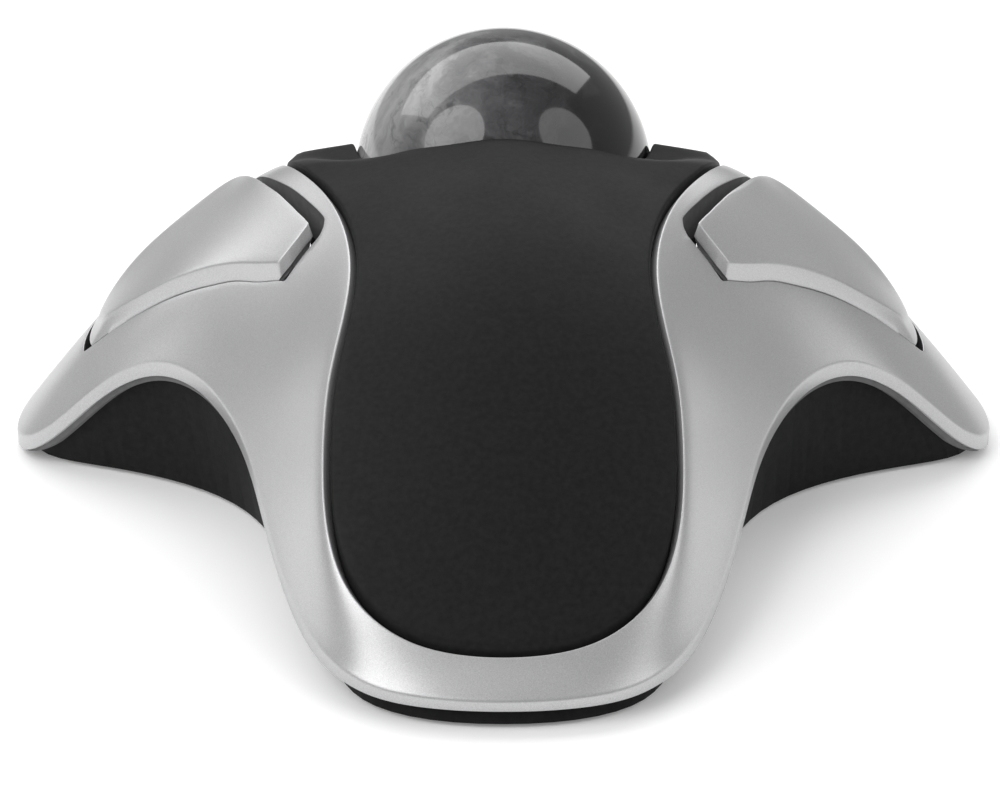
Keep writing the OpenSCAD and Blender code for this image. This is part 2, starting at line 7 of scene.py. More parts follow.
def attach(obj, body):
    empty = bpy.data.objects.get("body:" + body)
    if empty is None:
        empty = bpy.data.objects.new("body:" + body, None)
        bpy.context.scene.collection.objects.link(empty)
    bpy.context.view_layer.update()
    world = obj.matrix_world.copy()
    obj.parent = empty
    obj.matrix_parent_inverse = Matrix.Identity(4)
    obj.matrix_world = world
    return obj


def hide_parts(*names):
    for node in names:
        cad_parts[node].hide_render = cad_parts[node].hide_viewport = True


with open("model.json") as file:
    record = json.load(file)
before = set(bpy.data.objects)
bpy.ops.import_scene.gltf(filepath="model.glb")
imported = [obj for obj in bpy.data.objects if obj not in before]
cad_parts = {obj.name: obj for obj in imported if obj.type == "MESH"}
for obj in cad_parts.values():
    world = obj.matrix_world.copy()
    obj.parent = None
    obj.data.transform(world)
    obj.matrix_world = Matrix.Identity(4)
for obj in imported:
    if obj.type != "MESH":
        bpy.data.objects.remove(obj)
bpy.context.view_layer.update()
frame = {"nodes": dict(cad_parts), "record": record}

BALL = np.array([0.0, 29.0, 32.0])                        # middle of the ball
BALL_R, HOLLOW_R, OPENING_R = 20.0, 12.0, 20.22
TILT = math.radians(32)
AX = np.array([0.0, math.sin(TILT), math.cos(TILT)])      # axis of the ball opening

# ---------------------------------------------------------------- surfaces (mm)
PROFILE = [(-66, -8), (-58, 3.4), (-50, 12), (-40, 22), (-30, 30.2), (-20, 36.4), (-10, 40.6),
           (0, 43.2), (10, 44.4), (19, 43.6), (28, 39.4), (38, 31.5), (48, 21.5), (54.5, 12),
           (58, 3), (59.5, -8)]
ST = [((0, -54.4), (0, -55.9, .1), (0, -57.4, 4.6), (0, -58.4, 3.9)),
      ((8.4, -53.7), (8.7, -55.1, .1), (9.2, -56.6, 4.8), (9.4, -57.6, 4)),
      ((14.4, -51.3), (15.3, -52.6, .2), (16.2, -54.2, 5.2), (16.6, -55, 4.2)),
      ((19, -47), (20.2, -47.8, .3), (21.4, -48.4, 6.8), (22, -48.8, 5.4)),
      ((21, -40.5), (22.4, -40.8, .5), (24, -41.2, 10), (25, -41.5, 7.6)),
      ((21.2, -33), (22.8, -33, .8), (25.8, -33.4, 14), (27.6, -34, 10.4)),
      ((20.9, -26.2), (22.8, -26, 1), (26.4, -25.8, 18.5), (29.6, -26, 13)),
      ((19.2, -19), (21.7, -18.6, 1.2), (27, -18.4, 22.5), (31.6, -18, 15)),
      ((18.5, -12), (21.4, -11, 1.3), (29, -10, 26), (34.4, -10.5, 16.5)),
      ((19.3, -5.3), (22.4, -3.8, 1.5), (31.5, -2.4, 28.5), (38.6, -3.6, 18.4)),
      ((20.9, 1), (24.5, 2.6, 1.4), (36.5, 4.5, 30), (45, 1.6, 18.6)),
      ((22.8, 6.2), (26.6, 8, 1.2), (42, 9.5, 29.5), (52.5, 3.6, 14)),
      ((24.9, 10.8), (29, 13, .8), (46, 13.5, 28.5), (60.6, 4.8, 5.2)),
      ((27.2, 15.2), (31.4, 18, .3), (48, 18, 27.5), (65.6, 9, 2.4)),
      ((29, 20), (33.4, 23, .1), (47, 25, 25.5), (65.8, 20, 2.6)),
      ((29.9, 25.8), (34.4, 28.8, .1), (44, 33, 21), (60.5, 33, 3)),
      ((29.9, 32), (33.2, 36, .5), (39.5, 42, 16), (50, 44.5, 3)),
      ((29.2, 39), (31.5, 43, .8), (35, 48.5, 12), (39.5, 51.5, 3)),
      ((28.4, 46), (29.4, 49.5, 1), (30.6, 53.5, 8.5), (31, 55.8, 3))]
B_NEAR = [(.507, .505, 2.2), (.526, .574, 2.2), (.548, .629, 2.2), (.569, .674, 2.2),
          (.59, .709, 2.15), (.61, .728, 2.1), (.63, .743, 2), (.66, .757, 1.9),
          (.682, .772, 1.8), (.7, .79, 1.6)]
B_FAR = [(.775, .27, 1.7), (.775, .35, 2.5), (.774, .43, 2.5), (.772, .51, 2.6),
         (.769, .58, 2.8), (.766, .64, 3), (.762, .69, 2.9), (.757, .74, 2.4), (.75, .78, 1)]
B_IN = [(.507, .505, 2.2), (.513, .431, 2.2), (.52, .352, 2.2), (.53, .269, 2.2),
        (.56, .284, 2.25), (.593, .285, 2.3), (.634, .277, 2.35), (.681, .266, 2.4),
        (.73, .265, 2.1), (.775, .27, 1.7)]
B_OUT = [(.7, .79, 1.6), (.725, .785, 1.4), (.75, .78, 1)]
E_NEAR = [(.506, .5, 0), (.525, .58, 0), (.548, .633, 0), (.567, .683, 0), (.588, .718, 0),
          (.607, .739, 0), (.627, .754, 0), (.65, .766, 0), (.67, .784, 0), (.684, .804, 0),
          (.695, .822, 0)]
E_FAR = [(.79, .26, 0), (.79, .35, 0), (.789, .44, 0), (.787, .53, 0), (.784, .61, 0),
         (.778, .68, 0), (.77, .74, 0), (.758, .786, 0)]
E_IN = [(.506, .5, 0), (.512, .418, 0), (.521, .33, 0), (.531, .242, 0), (.56, .27, 0),
        (.593, .272, 0), (.634, .265, 0), (.681, .255, 0), (.735, .252, 0), (.79, .26, 0)]
E_OUT = [(.695, .822, 0), (.726, .803, 0), (.758, .786, 0)]
POCKET = [(.795, .25), (.785, .2), (.737, .192), (.695, .181), (.656, .167), (.597, .156),
          (.551, .136), (.537, .172), (.5275, .216), (.5008, .484)]
SLOT = [(.702, .834), (.733, .812), (.768, .79)]


def bs(rows, u):
    """Point of a uniform cubic B-spline through control rows."""
    rows = np.asarray(rows, float)
    u = np.asarray(u, float)
    i = np.clip(np.floor(u).astype(int), 0, len(rows) - 4)
    f = u - i
    f = f.reshape(f.shape + (1,) * (rows.ndim - 1))
    return ((1 - f) ** 3 * rows[i] + (3 * f ** 3 - 6 * f ** 2 + 4) * rows[i + 1]
            + (-3 * f ** 3 + 3 * f ** 2 + 3 * f + 1) * rows[i + 2] + f ** 3 * rows[i + 3]) / 6


_prof = bs(PROFILE, np.linspace(0, len(PROFILE) - 3, 3000))


def palm_z(x, y):
    """Height of the palm surface."""
    x = np.abs(x)
    return (np.interp(y, _prof[:, 0], _prof[:, 1])
            - np.interp(y, [-58, -45, -30, -10, 5, 15, 40, 58],
                        [1.2, 2.2, 3, 3.2, 2.4, 1.6, 1.6, 1.4]) * x * x / 400
            - np.interp(y, [-40, -10, 12, 40], [0, .6, 1.9, 1.9]) * (1 - np.exp(-x * x / 81)))


def _net():
    """Control rows of the shell: the listed half, a mirrored row before it, one row beyond it."""
    rows = np.array([[[a[0], a[1], palm_z(*a)], [b[0], b[1], palm_z(b[0], b[1]) - b[2]], c, d]
                     for a, b, c, d in ST], float)
    m = rows[1].copy()
    m[:, 0] *= -1
    return np.concatenate([m[None], rows, (2 * rows[-1] - rows[-2])[None]])


NET = _net()
NS = len(ST) - 1


def skin(s, t):
    """Outer surface of the shell: s palm end to cable end, t panel seam to fold."""
    s, t = np.broadcast_arrays(np.asarray(s, float), np.asarray(t, float))
    k = bs(NET, s * NS)
    t = t[..., None]
    q = 1 - t
    return (q ** 3 * k[..., 0, :] + 3 * q * q * t * k[..., 1, :]
            + 3 * q * t * t * k[..., 2, :] + t ** 3 * k[..., 3, :])


def unit(v):
    return v / np.maximum(np.linalg.norm(v, axis=-1, keepdims=True), 1e-9)


def frame_at(s, t):
    """Point, unit normal and the two derivatives of the shell surface."""
    e = 1e-3
    s, t = np.broadcast_arrays(np.asarray(s, float), np.asarray(t, float))
    s1, s0 = np.minimum(s + e, 1), s - e
    t1, t0 = np.minimum(t + e, 1), np.maximum(t - e, 0)
    ds = (skin(s1, t) - skin(s0, t)) / (s1 - s0)[..., None]
    dt = (skin(s, t1) - skin(s, t0)) / (t1 - t0)[..., None]
    n = unit(np.cross(ds, dt))
    n = np.where(n[..., 2:] < 0, -n, n)
    return skin(s, t), n, ds, dt


# ---------------------------------------------------------------- mesh helpers
MIRROR = np.array([-1.0, 1.0, 1.0])


def make(name, verts, faces, mat, body, replaces=(), inner=None, smooth=35, merge=1e-4):
    """A mesh object from points in mm. inner is a second material and the faces that have it."""
    me = bpy.data.meshes.new(name)
    me.from_pydata((np.asarray(verts, float) / 1000).tolist(), [],
                   [list(map(int, f)) for f in faces])
    me.materials.append(mat)
    if inner:
        me.materials.append(inner[0])
        me.polygons.foreach_set("material_index", inner[1].astype(int))
    bm = bmesh.new()
    bm.from_mesh(me)
    bmesh.ops.remove_doubles(bm, verts=bm.verts, dist=merge / 1000)
    bmesh.ops.dissolve_degenerate(bm, edges=bm.edges, dist=1e-7)
    bmesh.ops.recalc_face_normals(bm, faces=bm.faces)
    bm.to_mesh(me)
    bm.free()
    me.polygons.foreach_set("use_smooth", [True] * len(me.polygons))
    me.set_sharp_from_angle(angle=math.radians(smooth))
    ob = bpy.data.objects.new(name, me)
    bpy.context.scene.collection.objects.link(ob)
    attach(ob, body)
    if replaces:
        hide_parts(*replaces)
    return ob


class Build:
    """Collects points and faces."""

    def __init__(self):
        self.v, self.f, self.n = [], [], 0

    def add(self, pts):
        pts = np.asarray(pts, float).reshape(-1, 3)
        i = np.arange(self.n, self.n + len(pts))
        self.v.append(pts)
        self.n += len(pts)
        return i

    def strip(self, a, b, closed=False):
        """Quads between two rows of indices."""
        a, b = list(a), list(b)
        m = len(a)
        for i in range(m if closed else m - 1):
            j = (i + 1) % m
            self.f.append((a[i], a[j], b[j], b[i]))

    def grid(self, g, closed=False):
        """Quads between each row of indices and the next."""
        for i in range(len(g) - 1):
            self.strip(g[i], g[i + 1], closed)

    def face(self, idx):
        self.f.append(tuple(idx))

    def mirrored(self):
        """The points and faces with their mirror images beside them."""
        v = np.concatenate(self.v)
        other = [tuple(i + self.n for i in f) for f in self.f]
        return np.concatenate([v, v * MIRROR]), self.f + other

    def done(self):
        return np.concatenate(self.v), self.f


def resample(p, step, closed=True):
    """Points every step along a polyline (measured on the columns given)."""
    p = np.asarray(p, float)
    if closed:
        p = np.concatenate([p, p[:1]])
    d = np.r_[0, np.cumsum(np.linalg.norm(np.diff(p, axis=0), axis=1))]
    n = max(3, int(round(d[-1] / step)))
    u = np.linspace(0, d[-1], n + 1)
    if closed:
        u = u[:-1]
    return np.stack([np.interp(u, d, p[:, k]) for k in range(p.shape[1])], 1)


def relax(p, times):
    """Rounds the corners of a closed row of points."""
    p = np.array(p, float)
    for _ in range(times):
        p = (np.roll(p, 1, 0) + 2 * p + np.roll(p, -1, 0)) / 4
    return p


def lookup(rows, u):
    """Smooth curve through the listed points, at u from 0 to 1."""
    rows = np.asarray(rows, float)
    k = np.clip((np.asarray(u, float) * (len(rows) - 1)), 0, len(rows) - 1)
    i = np.clip(np.floor(k).astype(int), 0, len(rows) - 2)
    f = (k - i)[..., None]
    p0, p1 = rows[np.maximum(i - 1, 0)], rows[i]
    p2, p3 = rows[i + 1], rows[np.minimum(i + 2, len(rows) - 1)]
    m1, m2 = (p2 - p0) / 2, (p3 - p1) / 2
    return ((2 * f ** 3 - 3 * f ** 2 + 1) * p1 + (f ** 3 - 2 * f ** 2 + f) * m1
            + (-2 * f ** 3 + 3 * f ** 2) * p2 + (f ** 3 - f ** 2) * m2)


def lin(rows, u):
    """Straight lines between the listed points, at u from 0 to 1."""
    rows = np.asarray(rows, float)
    x = np.linspace(0, 1, len(rows))
    return np.stack([np.interp(u, x, rows[:, k]) for k in range(rows.shape[1])], -1)


def inside(poly, pts):
    """Which points lie inside a polygon."""
    x, y = pts[:, 0], pts[:, 1]
    r = np.zeros(len(pts), bool)
    n = len(poly)
    for i in range(n):
        x0, y0 = poly[i]
        x1, y1 = poly[(i + 1) % n]
        if y0 == y1:
            continue
        c = (y0 > y) != (y1 > y)
        r ^= c & (x < (x1 - x0) * (y - y0) / (y1 - y0) + x0)
    return r


def near_line(poly, pts, closed=True):
    """Distance from points to a polyline."""
    a = np.asarray(poly, float)
    b = np.roll(a, -1, 0) if closed else a[1:]
    a = a if closed else a[:-1]
    best = np.full(len(pts), 1e9)
    for p, q in zip(a, b):
        d = q - p
        t = np.clip(((pts - p) @ d) / max(d @ d, 1e-12), 0, 1)
        best = np.minimum(best, np.linalg.norm(pts - p - t[:, None] * d, axis=1))
    return best


def triangulate(points, loops, holes):
    """Constrained triangles over 2-D points. loops are closed rows of indices; triangles whose
    middle is inside one of the hole polygons are dropped."""
    edges = [(int(l[i]), int(l[(i + 1) % len(l)])) for l in loops for i in range(len(l))]
    r = delaunay_2d_cdt([Vector(p) for p in points], edges, [], 0, 1e-7, True)
    co = np.array([tuple(v) for v in r[0]])
    src = [o[0] if o else -1 for o in r[3]]
    tri = np.array([list(f) for f in r[2] if len(f) == 3])
    mid = co[tri].mean(1)
    ok = np.ones(len(tri), bool)
    for h, want in holes:
        ok &= inside(np.asarray(h), mid) == want
    tri = tri[ok]
    src = np.array(src)
    assert (src[tri] >= 0).all(), "a new point was made"
    return src[tri]


def fillet(d, r):
    """How far a surface drops at distance d from an edge rounded with radius r."""
    x = np.clip(r - d, 0, r)
    return r - np.sqrt(np.maximum(r * r - x * x, 0))


# ---------------------------------------------------------------- shell
SEAM_R, FOLD_R = 0.16, 0.36                               # edge radii
POCKET_R, POCKET_GAP = 0.12, 0.22
FLANGE_T, FLANGE_D, FLANGE_LOW = 0.8, 4.4, 3.0            # thickness, depth, depth at the wing tip
STRIP_H = 0.85                                            # recessed strip below the rim
ST_SCALE = np.array([150.0, 42.0])                        # makes (s, t) steps about in mm


def rim(s):
    """Height of the band below the fold."""
    return np.interp(s, [0, .12, .22, .9, 1], [1.4, 1.5, 2.1, 2.1, 1.8])


def thick(s):
    """Wall thickness."""
    return np.interp(s, [0, .1, .2, 1], [.9, 1.0, 1.6, 1.6])


def t_range(s):
    """Where the rounded edges along the seam and the fold begin, in t."""
    _, _, _, d0 = frame_at(s, 0 * s)
    _, _, _, d1 = frame_at(s, 0 * s + 1)
    return SEAM_R / np.linalg.norm(d0, axis=-1), 1 - FOLD_R / np.linalg.norm(d1, axis=-1)


def move_st(p, d):
    """Moves a closed row of (s, t) points outward by d mm along the surface."""
    c, n, ds, dt = frame_at(p[:, 0], p[:, 1])
    w = unit(np.roll(c, -1, 0) - np.roll(c, 1, 0))
    o = unit(np.cross(w, n))
    mid = c.mean(0)
    if np.sum(o * (c - mid)) < 0:
        o = -o
    g11, g12, g22 = (ds * ds).sum(1), (ds * dt).sum(1), (dt * dt).sum(1)
    r1, r2 = (o * ds).sum(1) * d, (o * dt).sum(1) * d
    det = g11 * g22 - g12 ** 2
    return p + np.stack([(g22 * r1 - g12 * r2) / det, (g11 * r2 - g12 * r1) / det], 1)


def snap(q, base, moved, d):
    """Draws in the points of an offset row that crossed over at an inner corner."""
    good = np.where(near_line(base, moved) > .93 * d)[0]
    k = np.arange(len(q))[:, None]
    gap = np.abs(k - good)
    return q[good[np.argmin(np.minimum(gap, len(q) - gap), axis=1)]]


def offset_st(p, d):
    """Closed row of (s, t) points d mm outside another, with as many points."""
    q = move_st(p, d)
    return snap(q, skin(p[:, 0], p[:, 1]), skin(q[:, 0], q[:, 1]), d) if d else q


def metric(p):
    """(s, t) points scaled so that steps are about in mm."""
    return p * ST_SCALE


def pocket_loop():
    """The edge of the opening round a button, as (s, t) points."""
    k = np.linspace(0, 1, 60)
    near, out = lookup(E_NEAR, k)[:, :2], lin(SLOT, np.linspace(0, 1, 20))
    far = lookup(E_FAR, k[::-1])[:, :2]
    body = np.concatenate([near, out, far])
    loop = np.concatenate([body, lin(POCKET, np.linspace(0, 1, 80))])
    full = metric(loop)
    full = resample(full, .25)
    full = relax(full, 3)
    p = full / ST_SCALE
    return offset_st(p, POCKET_GAP)


POCKET_LOOP = pocket_loop()


def build_shell():
    """Silver top shell: outer and inner skin, the hole round each button with the flange below
    it, the edge along the palm panel and the rim. The right half is built and then mirrored."""
    ns, nt = 300, 52
    s1 = np.linspace(0, 1, ns + 1)
    tau = np.linspace(0, 1, nt + 1)
    ss, tt = np.meshgrid(s1, tau, indexing="ij")
    t0, t1 = t_range(s1)

    def to_t(s, q):
        a, b = np.interp(s, s1, t0), np.interp(s, s1, t1)
        return a + q * (b - a)

    def to_tau(p):
        a, b = np.interp(p[:, 0], s1, t0), np.interp(p[:, 0], s1, t1)
        return np.stack([p[:, 0], (p[:, 1] - a) / (b - a)], 1)

    rings, drops = [], []
    for d in (0, .015, .04, .08, .12, FLANGE_T):
        rings.append(to_tau(offset_st(POCKET_LOOP, d)))
        drops.append(fillet(d, POCKET_R))
    keep_out = to_tau(offset_st(POCKET_LOOP, FLANGE_T + .35))
    grid = np.stack([ss.ravel(), tt.ravel()], 1)
    edge = (np.isclose(grid[:, 1], 0) | np.isclose(grid[:, 1], 1) | np.isclose(grid[:, 0], 0)
            | np.isclose(grid[:, 0], 1))
    far_enough = ~inside(keep_out, grid) | edge
    gi = np.where(far_enough)[0]
    pts = np.concatenate([grid[gi]] + rings)
    st = np.stack([pts[:, 0], to_t(pts[:, 0], pts[:, 1])], 1)
    drop = np.concatenate([np.zeros(len(gi))] + [np.full(len(q), e) for q, e in zip(rings, drops)])
    loops, k = [], len(gi)
    for q in rings:
        loops.append(np.arange(k, k + len(q)))
        k += len(q)
    index = -np.ones(len(grid), int)
    index[gi] = np.arange(len(gi))
    index = index.reshape(ns + 1, nt + 1)
    border = np.concatenate([index[:, 0], index[-1, 1:], index[::-1, -1][1:], index[0, ::-1][1:-1]])
    tri = triangulate(pts * ST_SCALE, loops + [border],
                      [(rings[0] * ST_SCALE, False)])
    c, n, _, _ = frame_at(st[:, 0], st[:, 1])
    outer = c - drop[:, None] * n
    # the inner skin drops straight down beside the opening and follows the normal further off
    away = near_line(metric(POCKET_LOOP), metric(st))
    lean = np.clip((away - .6) / 2.6, 0, 1)[:, None]
    down = unit(lean * n + (1 - lean) * np.array([0, 0, 1.0]))
    inner = c - thick(st[:, 0])[:, None] * down / (down * n).sum(1, keepdims=True)
    b = Build()
    io, ii = b.add(outer), b.add(inner)
    mid = pts[tri].mean(1)
    under = tri[~inside(rings[-1], mid)]
    b.f += [tuple(io[f]) for f in tri] + [tuple(ii[f[::-1]]) for f in under]
    # flange that hangs from the edge of the opening
    edge0, edge1 = outer[loops[0]], outer[loops[-1]]
    depth = FLANGE_D * np.ones(len(edge0))
    depth[edge0[:, 0] > 36] = FLANGE_LOW
    depth = relax(depth[:, None], 60)[:, 0]
    foot0 = edge0 - np.stack([0 * depth, 0 * depth, depth], 1)
    foot1 = np.stack([edge1[:, 0], edge1[:, 1], foot0[:, 2] + .05], 1)
    rows = [io[loops[0]], b.add((edge0 + foot0) / 2), b.add(foot0), b.add(foot1), ii[loops[-1]]]
    first = len(b.f)
    b.grid(rows, closed=True)
    wall = np.arange(first, len(b.f))
    # rounded edge along the palm panel, then its wall
    cs, n0, _, dts = frame_at(s1, t0)
    u0 = -unit(dts)
    rows = [io[index[:, 0]]]
    for a in np.radians([18, 36, 54, 72, 90]):
        rows.append(b.add(cs - SEAM_R * n0 + SEAM_R * (np.sin(a) * u0 + np.cos(a) * n0)))
    last = cs - thick(s1)[:, None] * n0 + SEAM_R * u0
    rows.append(b.add(last))
    rows.append(ii[index[:, 0]])
    b.grid(rows)
    seam_profile = [q[-1] for q in rows]
    # rounded fold, rim wall and its underside
    cf = skin(s1, t1)
    f1 = skin(s1, 1 + 0 * s1)
    _, nn, _, _ = frame_at(s1, 1 + 0 * s1)
    h = unit(nn * np.array([1, 1, 0]))
    w = rim(s1)[:, None] * np.array([0, 0, 1.0])
    low = f1 - w
    rows = [io[index[:, -1]]]
    for k in (.2, .4, .6, .8, 1):
        rows.append(b.add((1 - k) ** 2 * cf + 2 * k * (1 - k) * f1
                          + k * k * (f1 - np.array([0, 0, FOLD_R * .85]))))
    rows.append(b.add(low + np.array([0, 0, .14])))
    rows.append(b.add(low + np.array([0, 0, .04]) - .04 * h))
    rows.append(b.add(low - .14 * h))
    rows.append(b.add(low - .42 * h))
    # recessed strip below the rim, only along the wings
    lip = np.interp(s1, [0, .3, .42, .66, .72, 1], [.02, .02, STRIP_H, STRIP_H, .02, .02])[:, None]
    lip = lip * np.array([0, 0, 1.0])
    strip_at = len(rows) - 1
    rows.append(b.add(low - .46 * h - .04 * lip))
    rows.append(b.add(low - .5 * h - .94 * lip))
    rows.append(b.add(low - .56 * h - lip))
    rows.append(b.add(low - 1.25 * h - lip))
    strip_to = len(rows) - 1
    rows.append(b.add(low - 1.4 * h + np.array([0, 0, .2])))
    up = low - 1.45 * h
    up[:, 2] = np.minimum(f1[:, 2], cf[:, 2] - thick(s1)) - .25
    rows.append(b.add(up))
    rows.append(ii[index[:, -1]])
    first = len(b.f)
    b.grid(rows)
    wall = np.r_[wall, first + np.arange(strip_at * ns, strip_to * ns)]
    # the end face at the cable side
    fold_profile = [q[-1] for q in rows]
    end = (list(io[index[-1, :]]) + fold_profile[1:-1] + list(ii[index[-1, ::-1]])
           + seam_profile[1:-1][::-1])
    b.face(end)
    # the flange walls round each button and the recessed strip below the rim get a darker grey as
    # painted shade
    painted_shade_faces = np.isin(np.arange(len(b.f)), wall)
    return *b.mirrored(), np.tile(painted_shade_faces, 2)


# ---------------------------------------------------------------- palm panel
GAP = 0.85
LIP_H, DISH_H = 2.2, 1.4


def panel_loop():
    """Outline of the palm panel, seen from above."""
    s = np.linspace(0, 1, 240)
    p = skin(s, 0 * s)[:, :2]
    d = skin(np.minimum(s + .003, 1), 0 * s)[:, :2] - skin(s - .003, 0 * s)[:, :2]
    w = unit(np.stack([-d[:, 1], d[:, 0]], 1))
    side = p + GAP * w
    tail = [(27.7, 49.0), (27.7, 54.2), (27.2, 55.6), (25.8, 56.3), (14, 56.9), (0, 57.1)]
    half = np.concatenate([side, tail])
    full = np.concatenate([half, (half * [-1, 1])[::-1][1:-1]])
    return relax(resample(full, .5), 4)


def opening_point(a, r):
    """Points at angles a where the opening's wall meets the palm surface."""
    e1 = np.array([1.0, 0, 0])
    e2 = np.cross(AX, e1)
    c = BALL + r * (np.cos(a)[:, None] * e1 + np.sin(a)[:, None] * e2)
    lam = np.zeros(len(a))
    for _ in range(60):
        q = c + lam[:, None] * AX
        lam -= .6 * (q[:, 2] - collar_z(q[:, 0], q[:, 1]))
    return c + lam[:, None] * AX


def ease(k):
    k = np.clip(k, 0, 1)
    return k * k * (3 - 2 * k)


def collar_z(x, y):
    """Palm surface with the lip beside the ball and the dish in front of that lip."""
    a = np.abs(np.asarray(x, float))
    y = np.asarray(y, float)
    r = np.hypot(a, (y - BALL[1]) * AX[2])
    lip = LIP_H * ease((29.8 - a) / 2.6) * ease((y - 21.5) / 8.5) * ease((50 - y) / 9)
    dish = DISH_H * (ease((27.6 - r) / 7) * ease((y - 12) / 8) * ease((a - 8) / 8)
                     * ease((30 - y) / 8))
    return palm_z(a, y) + lip - dish


def build_panel():
    """Black palm panel with its collar and the opening for the ball."""
    loop = panel_loop()
    ang = np.linspace(0, 2 * np.pi, 361)[:-1]
    hole = opening_point(ang, OPENING_R)

    def shift(p, d):
        w = np.roll(p, -1, 0) - np.roll(p, 1, 0)
        n = unit(np.stack([w[:, 1], -w[:, 0]], 1))
        if np.sum(n * (p - p.mean(0))) < 0:
            n = -n
        return p + d * n

    def clean(p, d):
        """Moves a loop by d and evens out its spacing."""
        return relax(resample(shift(p, d), .45), 1)

    R1, R2 = .4, .4
    rings, drops, loops = [], [], []
    for d in (0, .05, .13, .24, .4):
        rings.append(clean(loop, -d) if d else loop)
        drops.append(fillet(d, R1))
    for d in (0, .05, .13, .24, .4):
        rings.append(shift(hole[:, :2], d))
        drops.append(fillet(d, R2))
    gx, gy = np.meshgrid(np.arange(-29.5, 29.6, .9), np.arange(-55, 58, .9), indexing="ij")
    g = np.stack([gx.ravel(), gy.ravel()], 1)
    g = g[inside(rings[4], g) & ~inside(rings[9], g)]
    g = g[(near_line(rings[4], g) > .45) & (near_line(rings[9], g) > .45)]
    pts = np.concatenate([g] + rings)
    drop = np.concatenate([np.zeros(len(g))] + [np.full(len(q), e) for q, e in zip(rings, drops)])
    k = len(g)
    for q in rings:
        loops.append(np.arange(k, k + len(q)))
        k += len(q)
    tri = triangulate(pts, loops, [(rings[0], True), (rings[5], False)])
    z = collar_z(pts[:, 0], pts[:, 1]) - drop
    top = np.stack([pts[:, 0], pts[:, 1], z], 1)
    bot = top.copy()
    bot[:, 2] = palm_z(pts[:, 0], pts[:, 1]) - 2.2
    # the wall of the opening runs along the tilted axis, so the underside is drawn forward near it
    near = 1 - np.clip(near_line(hole[:, :2], pts) / 6, 0, 1)
    bot[:, 1] -= near * (top[:, 2] - bot[:, 2]) * math.tan(TILT)
    b = Build()
    it, ib = b.add(top), b.add(bot)
    b.f += [tuple(it[f]) for f in tri] + [tuple(ib[f[::-1]]) for f in tri]
    b.strip(it[loops[0]], ib[loops[0]], closed=True)
    b.strip(it[loops[5]], ib[loops[5]], closed=True)
    return b.done()


# ---------------------------------------------------------------- buttons
CREASE_R, CREASE_FAR, CAP_LOAD = 0.22, 0.9, .022


def film(pts, tri, fixed, height, load):
    """Height of a stretched film over a triangle mesh: fixed on its border, swollen by a load."""
    n = len(pts)
    k = np.zeros((n, n))
    f = np.zeros(n)
    for c in range(3):
        i, j, o = tri[:, c], tri[:, (c + 1) % 3], tri[:, (c + 2) % 3]
        u, v = pts[i] - pts[o], pts[j] - pts[o]
        cross = np.abs(u[:, 0] * v[:, 1] - u[:, 1] * v[:, 0])
        w = .5 * (u * v).sum(1) / np.maximum(cross, 1e-9)
        np.add.at(k, (i, j), -w)
        np.add.at(k, (j, i), -w)
        np.add.at(k, (i, i), w)
        np.add.at(k, (j, j), w)
        np.add.at(f, i, load * cross / 6)
    free = ~fixed
    z = np.zeros(n)
    z[fixed] = height[fixed]
    z[free] = np.linalg.solve(k[np.ix_(free, free)], f[free] - k[np.ix_(free, fixed)] @ z[fixed])
    return z


def cap_loops():
    """Crease loop and lower loop of a button with the same number of points, and the radius
    of the crease at each point."""
    a, c, e = np.linspace(0, 1, 100)[:-1], np.linspace(0, 1, 22)[:-1], np.linspace(0, 1, 91)[:-1]

    def loop(near, out, far, inn):
        q = np.concatenate([lookup(near, a), lin(out, c), lookup(far, 1 - a), lin(inn, 1 - e)])
        return skin(q[:, 0], q[:, 1]) + q[:, 2:] * np.array([0, 0, 1.0])

    crease, low = loop(B_NEAR, B_OUT, B_FAR, B_IN), loop(E_NEAR, E_OUT, E_FAR, E_IN)
    k = np.arange(len(crease))
    crisp = (k < 96) | (k > len(k) - 62)
    soft = relax(crease, 60)
    mix = relax(crisp.astype(float)[:, None], 40)
    crease = relax(crease, 1) * mix + soft * (1 - mix)
    radius = CREASE_R * mix[:, 0] + CREASE_FAR * (1 - mix[:, 0])
    return crease, relax(low, 1), radius


